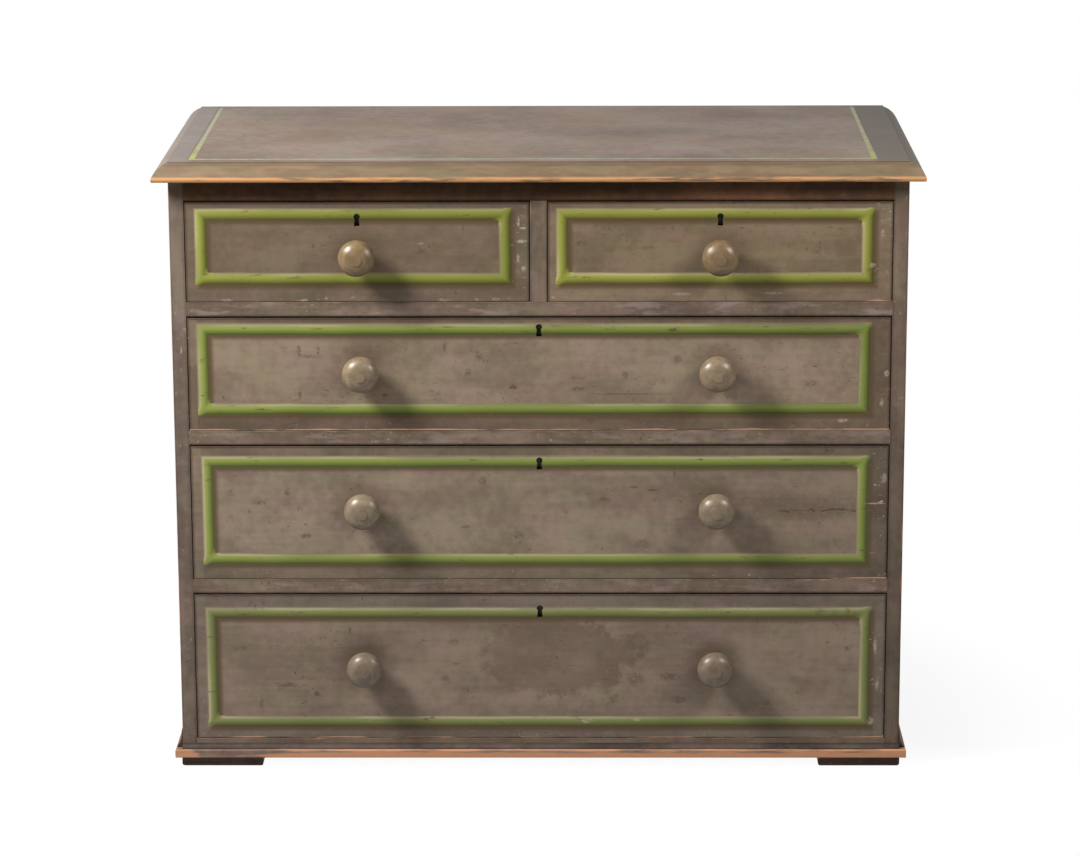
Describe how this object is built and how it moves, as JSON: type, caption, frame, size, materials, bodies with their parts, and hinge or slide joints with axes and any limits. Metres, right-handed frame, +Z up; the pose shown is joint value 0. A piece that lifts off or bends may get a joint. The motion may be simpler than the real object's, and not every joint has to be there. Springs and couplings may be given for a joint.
{
  "type": "chest of drawers",
  "caption": "Painted wooden chest of drawers: short drawers above graduated long ones, turned knobs, bolt locks with keyholes, a moulded top, low block feet.",
  "frame": {"origin": "on the floor under the middle of the bounding box, with all drawers shut", "axes": "+X to the right along the front, +Y from the front to the back, +Z up"},
  "size_m": [1.084, 0.54, 0.89],
  "materials": {
    "painted_front": "worn umber-grey oil paint with green and cream lines",
    "painted_carcass": "worn umber-grey oil paint",
    "painted_top": "worn umber-grey oil paint, bare at the moulded edge",
    "painted_base": "dark umber paint, worn to the pine on the lip",
    "painted_knob": "satin umber-grey oil paint",
    "bare_pine": "bare aged pine",
    "back_pine": "bare darkened pine",
    "lock_iron": "dull dark iron"
  },
  "bodies": {
    "carcass": {"top_board": "painted_top", "side_panel_left": "painted_carcass", "side_panel_right": "painted_carcass", "frieze_rail": "painted_carcass", "drawer_rail_upper": "painted_carcass", "drawer_rail_middle": "painted_carcass", "drawer_rail_lower": "painted_carcass", "bottom_rail": "painted_carcass", "centre_muntin": "painted_carcass", "drawer_runners": "bare_pine", "kickers": "bare_pine", "centre_guide": "bare_pine", "drawer_stops": "bare_pine", "back_boards": "back_pine", "base_board": "painted_base", "base_moulding_front": "painted_base", "base_moulding_left": "painted_base", "base_moulding_right": "painted_base", "block_feet": "painted_base"},
    "short_left_drawer": {"short_left_front": "painted_front", "short_left_side_left": "bare_pine", "short_left_side_right": "bare_pine", "short_left_back": "bare_pine", "short_left_bottom": "bare_pine", "short_left_knobs": "painted_knob", "short_left_lock_case": "lock_iron"},
    "short_left_bolt": {"short_left_lock_bolt": "lock_iron"},
    "short_right_drawer": {"short_right_front": "painted_front", "short_right_side_left": "bare_pine", "short_right_side_right": "bare_pine", "short_right_back": "bare_pine", "short_right_bottom": "bare_pine", "short_right_knobs": "painted_knob", "short_right_lock_case": "lock_iron"},
    "short_right_bolt": {"short_right_lock_bolt": "lock_iron"},
    "upper_long_drawer": {"upper_long_front": "painted_front", "upper_long_side_left": "bare_pine", "upper_long_side_right": "bare_pine", "upper_long_back": "bare_pine", "upper_long_bottom": "bare_pine", "upper_long_knobs": "painted_knob", "upper_long_lock_case": "lock_iron"},
    "upper_long_bolt": {"upper_long_lock_bolt": "lock_iron"},
    "middle_long_drawer": {"middle_long_front": "painted_front", "middle_long_side_left": "bare_pine", "middle_long_side_right": "bare_pine", "middle_long_back": "bare_pine", "middle_long_bottom": "bare_pine", "middle_long_knobs": "painted_knob", "middle_long_lock_case": "lock_iron"},
    "middle_long_bolt": {"middle_long_lock_bolt": "lock_iron"},
    "bottom_long_drawer": {"bottom_long_front": "painted_front", "bottom_long_side_left": "bare_pine", "bottom_long_side_right": "bare_pine", "bottom_long_back": "bare_pine", "bottom_long_bottom": "bare_pine", "bottom_long_knobs": "painted_knob", "bottom_long_lock_case": "lock_iron"},
    "bottom_long_bolt": {"bottom_long_lock_bolt": "lock_iron"}
  },
  "joints": [
    {"name": "short_left_slide", "type": "slide", "parent": "carcass", "child": "short_left_drawer", "axis": [0, -1, 0], "range_m": [0, 0.36]},
    {"name": "short_left_bolt_slide", "type": "slide", "parent": "short_left_drawer", "child": "short_left_bolt", "axis": [0, 0, 1], "range_m": [0, 0.008]},
    {"name": "short_right_slide", "type": "slide", "parent": "carcass", "child": "short_right_drawer", "axis": [0, -1, 0], "range_m": [0, 0.36]},
    {"name": "short_right_bolt_slide", "type": "slide", "parent": "short_right_drawer", "child": "short_right_bolt", "axis": [0, 0, 1], "range_m": [0, 0.008]},
    {"name": "upper_long_slide", "type": "slide", "parent": "carcass", "child": "upper_long_drawer", "axis": [0, -1, 0], "range_m": [0, 0.36]},
    {"name": "upper_long_bolt_slide", "type": "slide", "parent": "upper_long_drawer", "child": "upper_long_bolt", "axis": [0, 0, 1], "range_m": [0, 0.008]},
    {"name": "middle_long_slide", "type": "slide", "parent": "carcass", "child": "middle_long_drawer", "axis": [0, -1, 0], "range_m": [0, 0.36]},
    {"name": "middle_long_bolt_slide", "type": "slide", "parent": "middle_long_drawer", "child": "middle_long_bolt", "axis": [0, 0, 1], "range_m": [0, 0.008]},
    {"name": "bottom_long_slide", "type": "slide", "parent": "carcass", "child": "bottom_long_drawer", "axis": [0, -1, 0], "range_m": [0, 0.36]},
    {"name": "bottom_long_bolt_slide", "type": "slide", "parent": "bottom_long_drawer", "child": "bottom_long_bolt", "axis": [0, 0, 1], "range_m": [0, 0.008]}
  ]
}
